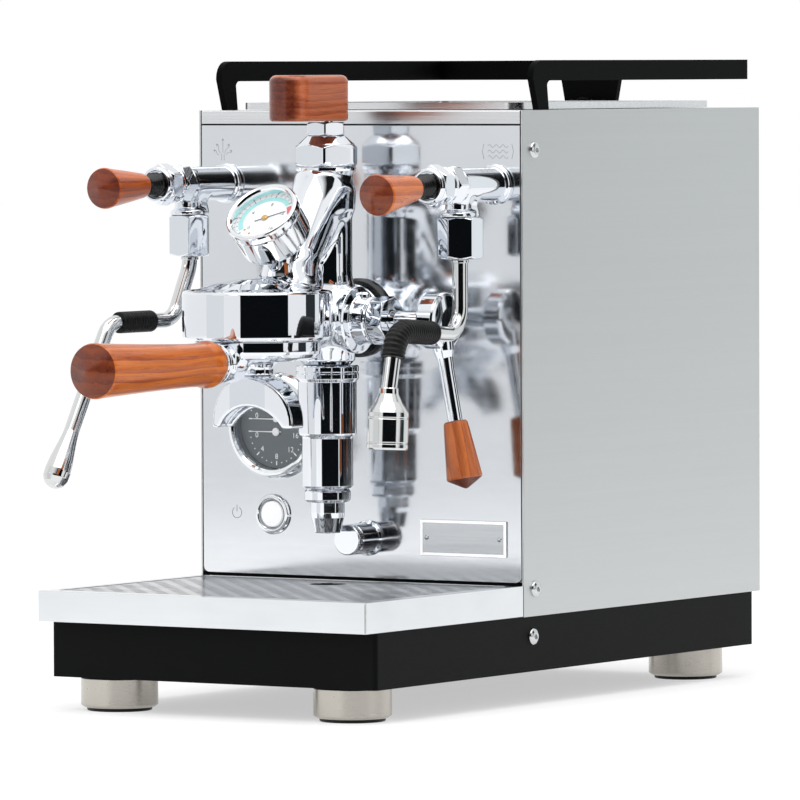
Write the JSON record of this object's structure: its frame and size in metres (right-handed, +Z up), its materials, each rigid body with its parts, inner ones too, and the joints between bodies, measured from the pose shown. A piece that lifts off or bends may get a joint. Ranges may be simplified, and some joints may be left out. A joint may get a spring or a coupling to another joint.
{
  "type": "espresso machine",
  "caption": "Compact steel espresso machine with a lever group head, wooden handles, steam and hot-water wands, panel gauge, drip tray and a cup rail.",
  "frame": {"origin": "centre of the whole machine's bounding box, on the surface that its feet stand on", "axes": "+Z up, -Y towards the operator (the portafilter handle points along -Y), +X to the operator's right"},
  "size_m": [0.2343, 0.5638, 0.3793],
  "materials": {
    "polished_steel": "mirror polished stainless sheet",
    "satin_steel": "fine brushed stainless sheet",
    "chrome": "polished chrome plate on brass",
    "wand_steel": "polished stainless tube",
    "black_coat": "fine matt powder coat",
    "satin_nickel": "satin turned",
    "rubber": "moulded",
    "walnut": "oiled, straight grain",
    "dial_dark": "printed",
    "dial_white": "printed",
    "glass": "clear",
    "needle_white": "white lacquer",
    "needle_black": "black lacquer",
    "lens_white": "translucent",
    "brass": "as machined",
    "copper": "drawn tube",
    "black_plastic": "moulded",
    "tank_plastic": "smoky clear"
  },
  "bodies": {
    "machine": {"base_frame": "black_coat", "cup_rail": "black_coat", "feet": "satin_nickel", "foot_pads": "rubber", "side_panel_left": "satin_steel", "side_panel_right": "satin_steel", "rear_panel": "satin_steel", "front_panel": "polished_steel", "top_cover": "polished_steel", "nameplate": "polished_steel", "case_screws": "polished_steel", "gauge_case": "chrome", "switch_bezel": "chrome", "group_body": "chrome", "mushroom_nut": "chrome", "flow_gland": "chrome", "lower_chamber": "chrome", "discharge_nozzle": "chrome", "cam_nut": "chrome", "group_gauge_case": "chrome", "valve_bodies": "chrome", "valve_cap_nuts": "chrome", "wand_nuts": "chrome", "drain_stub": "chrome", "shower_screen": "wand_steel", "gauge_dial": "dial_dark", "group_gauge_dial": "dial_white", "gauge_glass": "glass", "group_gauge_glass": "glass", "boiler": "brass", "group_mount": "brass", "pipes": "copper", "pump": "black_plastic", "control_box": "black_plastic", "power_inlet": "black_plastic", "group_collar": "black_plastic"},
    "flow_control": {"flow_knob": "walnut", "flow_spindle": "chrome"},
    "group_gauge_needle": {"group_needle": "needle_black"},
    "panel_needle_upper": {"needle_upper": "needle_white"},
    "panel_needle_lower": {"needle_lower": "needle_white"},
    "power_button": {"switch_button": "lens_white"},
    "brew_lever": {"lever_arm": "chrome", "lever_grip": "walnut"},
    "portafilter": {"portafilter_body": "chrome", "portafilter_grip": "walnut", "filter_basket": "wand_steel", "spout": "chrome"},
    "steam_lever": {"steam_joystick": "black_plastic", "steam_grip": "walnut"},
    "water_lever": {"water_joystick": "black_plastic", "water_grip": "walnut"},
    "steam_wand": {"steam_wand": "wand_steel", "steam_sleeve": "rubber"},
    "water_wand": {"water_wand": "wand_steel", "water_sleeve": "rubber"},
    "drip_tray": {"drip_tray": "polished_steel"},
    "drip_grille": {"drip_grille": "polished_steel"},
    "cup_tray": {"cup_tray": "satin_steel"},
    "water_tank": {"water_tank": "tank_plastic"}
  },
  "joints": [
    {"name": "flow_control_turn", "type": "hinge", "parent": "machine", "child": "flow_control", "pos_m": [0.00104, -0.03295, 0.35], "axis": [0, 0, 1], "range_deg": [-110, 110]},
    {"name": "brew_lever_lift", "type": "hinge", "parent": "machine", "child": "brew_lever", "pos_m": [0.08005, -0.03445, 0.227], "axis": [-1, 0, 0], "range_deg": [0, 40]},
    {"name": "portafilter_lock", "type": "hinge", "parent": "machine", "child": "portafilter", "pos_m": [0.00104, -0.10695, 0.21], "axis": [0, 0, -1], "range_deg": [0, 50]},
    {"name": "steam_lever_tilt", "type": "hinge", "parent": "machine", "child": "steam_lever", "pos_m": [-0.09395, -0.07345, 0.3065], "axis": [1, 0, 0], "range_deg": [-13, 10], "stiffness_Nm_per_rad": 0.05},
    {"name": "water_lever_tilt", "type": "hinge", "parent": "machine", "child": "water_lever", "pos_m": [0.09605, -0.07345, 0.3065], "axis": [1, 0, 0], "range_deg": [-16, 7], "stiffness_Nm_per_rad": 0.05},
    {"name": "steam_wand_swivel", "type": "hinge", "parent": "machine", "child": "steam_wand", "pos_m": [-0.09395, -0.03645, 0.27], "axis": [0, 0, -1], "range_deg": [0, 70]},
    {"name": "water_wand_swivel", "type": "hinge", "parent": "machine", "child": "water_wand", "pos_m": [0.09605, -0.03645, 0.27], "axis": [0, 0, 1], "range_deg": [0, 70]},
    {"name": "power_button_press", "type": "slide", "parent": "machine", "child": "power_button", "axis": [0, 1, 0], "range_m": [0, 0.0025], "stiffness_N_per_m": 600},
    {"name": "panel_needle_upper_sweep", "type": "hinge", "parent": "machine", "child": "panel_needle_upper", "pos_m": [-0.05846, 0.00255, 0.1655], "axis": [0, 1, 0], "range_deg": [0, 180]},
    {"name": "panel_needle_lower_sweep", "type": "hinge", "parent": "machine", "child": "panel_needle_lower", "pos_m": [-0.05846, 0.00255, 0.1579], "axis": [0, -1, 0], "range_deg": [0, 180]},
    {"name": "group_needle_sweep", "type": "hinge", "parent": "machine", "child": "group_gauge_needle", "pos_m": [0.00104, -0.10175, 0.2909], "axis": [0, 0.7071, -0.7071], "range_deg": [-200, 60]},
    {"name": "drip_tray_slide", "type": "slide", "parent": "machine", "child": "drip_tray", "axis": [0, -1, 0], "range_m": [0, 0.165]},
    {"name": "drip_grille_lift", "type": "slide", "parent": "drip_tray", "child": "drip_grille", "axis": [0, 0, 1], "range_m": [0, 0.013]},
    {"name": "cup_tray_lift", "type": "slide", "parent": "machine", "child": "cup_tray", "axis": [0, 0, 1], "range_m": [0, 0.35]},
    {"name": "water_tank_lift", "type": "slide", "parent": "machine", "child": "water_tank", "axis": [0, 0, 1], "range_m": [0, 0.3]}
  ],
  "couplings": [
    {"joint": "water_tank_lift", "follows": "cup_tray_lift", "ratio": 0.8}
  ]
}
